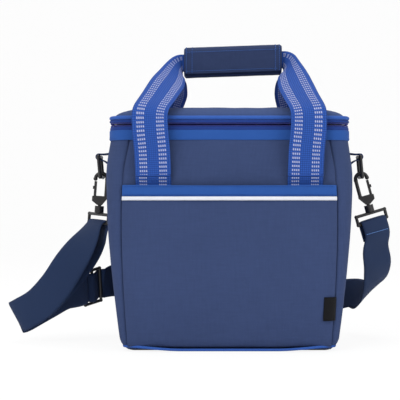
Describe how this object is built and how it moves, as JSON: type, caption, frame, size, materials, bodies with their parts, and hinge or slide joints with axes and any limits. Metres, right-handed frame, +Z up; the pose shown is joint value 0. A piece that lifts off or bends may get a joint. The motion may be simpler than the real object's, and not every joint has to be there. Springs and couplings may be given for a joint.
{
  "type": "insulated cooler bag",
  "caption": "Soft box-shaped cooler bag with a zipped lid, front pocket, two webbing handles joined by a padded grip, and a clip-on shoulder strap.",
  "frame": {"origin": "centre of the base panel, on the ground", "axes": "+Z up, +X to the right seen from the front, the front faces -Y"},
  "size_m": [0.4423, 0.2171, 0.337],
  "materials": {
    "navy": "woven polyester, matt",
    "blue_trim": "ribbed binding tape, slight sheen",
    "white_piping": "smooth covered piping",
    "label": "woven satin label, bare",
    "handle_web": "woven webbing with two dashed pale stripes",
    "tab_web": "woven webbing",
    "strap_web": "ribbed webbing",
    "grip": "woven polyester with blue stitching",
    "zip_tape": "twill zip tape",
    "zip_coil": "nylon coil",
    "zip_metal": "satin",
    "slider": "black lacquer",
    "liner": "silver coated film",
    "foam": "closed-cell foam",
    "board": "thin board",
    "plastic": "moulded acetal, satin"
  },
  "bodies": {
    "root": {"front_panel": "navy", "back_panel": "navy", "side_panel_left": "navy", "side_panel_right": "navy", "base_panel": "navy", "base_piping": "blue_trim", "base_board": "board", "foam_front": "foam", "foam_back": "foam", "foam_left": "foam", "foam_right": "foam", "foam_base": "foam", "inner_liner": "liner", "top_band": "blue_trim", "zip_tape_lower": "zip_tape", "zip_coil_lower": "zip_coil", "zip_stops": "zip_metal", "front_pocket": "navy", "pocket_hem": "blue_trim", "pocket_piping": "white_piping", "label_tab": "label", "handle_anchors_front": "handle_web", "handle_anchors_back": "handle_web", "side_tab_left": "tab_web", "side_tab_right": "tab_web", "lid_hinge_band": "navy", "strap_loop": "strap_web", "strap_run": "strap_web"},
    "lid": {"lid_top": "navy", "lid_foam": "foam", "lid_liner": "liner", "lid_piping": "blue_trim", "zip_tape_upper": "zip_tape", "zip_coil_upper": "zip_coil"},
    "front_handle": {"handle_front": "handle_web"},
    "back_handle": {"handle_back": "handle_web", "grip_wrap": "grip"},
    "grip_flap": {"grip_flap": "grip"},
    "zip_slider": {"zip_slider": "slider"},
    "zip_pull": {"zip_pull": "slider"},
    "ring_left": {"ring_left": "plastic"},
    "ring_right": {"ring_right": "plastic"},
    "clip_left": {"clip_left": "plastic"},
    "clip_right": {"clip_right": "plastic"},
    "hook_left": {"hook_left": "plastic"},
    "hook_right": {"hook_right": "plastic"},
    "gate_left": {"gate_left": "plastic"},
    "gate_right": {"gate_right": "plastic"},
    "strap_adjuster": {"strap_adjuster": "plastic"}
  },
  "joints": [
    {"name": "lid_hinge", "type": "hinge", "parent": "root", "child": "lid", "pos_m": [0, 0.0895, 0.24253], "axis": [-1, 0, 0], "range_deg": [0, 100], "deforming": ["lid_hinge_band"]},
    {"name": "front_handle_swing", "type": "hinge", "parent": "root", "child": "front_handle", "pos_m": [0, -0.0965, 0.188], "axis": [1, 0, 0], "range_deg": [0, 140]},
    {"name": "back_handle_swing", "type": "hinge", "parent": "root", "child": "back_handle", "pos_m": [0, 0.0965, 0.188], "axis": [-1, 0, 0], "range_deg": [0, 140]},
    {"name": "grip_flap_hinge", "type": "hinge", "parent": "back_handle", "child": "grip_flap", "pos_m": [0, 0.0079, 0.3344], "axis": [-1, 0, 0], "range_deg": [0, 110], "deforming": ["grip_flap"]},
    {"name": "zip_slide", "type": "slide", "parent": "root", "child": "zip_slider", "axis": [0, -1, 0], "range_m": [0, 0.1]},
    {"name": "zip_pull_hinge", "type": "hinge", "parent": "zip_slider", "child": "zip_pull", "pos_m": [0.1336, 0.05, 0.24215], "axis": [0, 0, -1], "range_deg": [0, 120]},
    {"name": "ring_left_play", "type": "hinge", "parent": "root", "child": "ring_left", "pos_m": [-0.148, 0, 0.211], "axis": [0, 1, 0], "range_deg": [-1, 3], "deforming": ["strap_loop"]},
    {"name": "clip_left_swing", "type": "hinge", "parent": "ring_left", "child": "clip_left", "pos_m": [-0.146, 0, 0.18809], "axis": [0, 1, 0], "range_deg": [-0.8, 30], "deforming": ["strap_loop"]},
    {"name": "hook_left_swivel", "type": "hinge", "parent": "clip_left", "child": "hook_left", "pos_m": [-0.1483, 0, 0.15517], "axis": [0.0698, 0, 0.9976], "range_deg": [-20, 20]},
    {"name": "gate_left_hinge", "type": "hinge", "parent": "hook_left", "child": "gate_left", "pos_m": [-0.15369, 0, 0.16407], "axis": [0, 1, 0], "range_deg": [0, 18], "stiffness_Nm_per_rad": 0.02, "springref_deg": -17.19},
    {"name": "ring_right_play", "type": "hinge", "parent": "root", "child": "ring_right", "pos_m": [0.148, 0, 0.211], "axis": [0, 1, 0], "range_deg": [-3, 3], "deforming": ["strap_run"]},
    {"name": "clip_right_swing", "type": "hinge", "parent": "ring_right", "child": "clip_right", "pos_m": [0.15, 0, 0.18809], "axis": [0, -1, 0], "range_deg": [-12, 25], "deforming": ["strap_run"]},
    {"name": "hook_right_swivel", "type": "hinge", "parent": "clip_right", "child": "hook_right", "pos_m": [0.15855, 0, 0.15621], "axis": [-0.2588, 0, 0.9659], "range_deg": [-20, 20]},
    {"name": "gate_right_hinge", "type": "hinge", "parent": "hook_right", "child": "gate_right", "pos_m": [0.16214, 0, 0.16598], "axis": [0, -1, 0], "range_deg": [0, 18], "stiffness_Nm_per_rad": 0.02, "springref_deg": -17.19},
    {"name": "strap_adjuster_slide", "type": "slide", "parent": "root", "child": "strap_adjuster", "axis": [0.8085, 0.1617, 0.5659], "range_m": [-0.012, 0.02]}
  ],
  "couplings": [
    {"joint": "front_handle_swing", "follows": "lid_hinge", "ratio": 1.4},
    {"joint": "back_handle_swing", "follows": "lid_hinge", "ratio": 1.4}
  ]
}
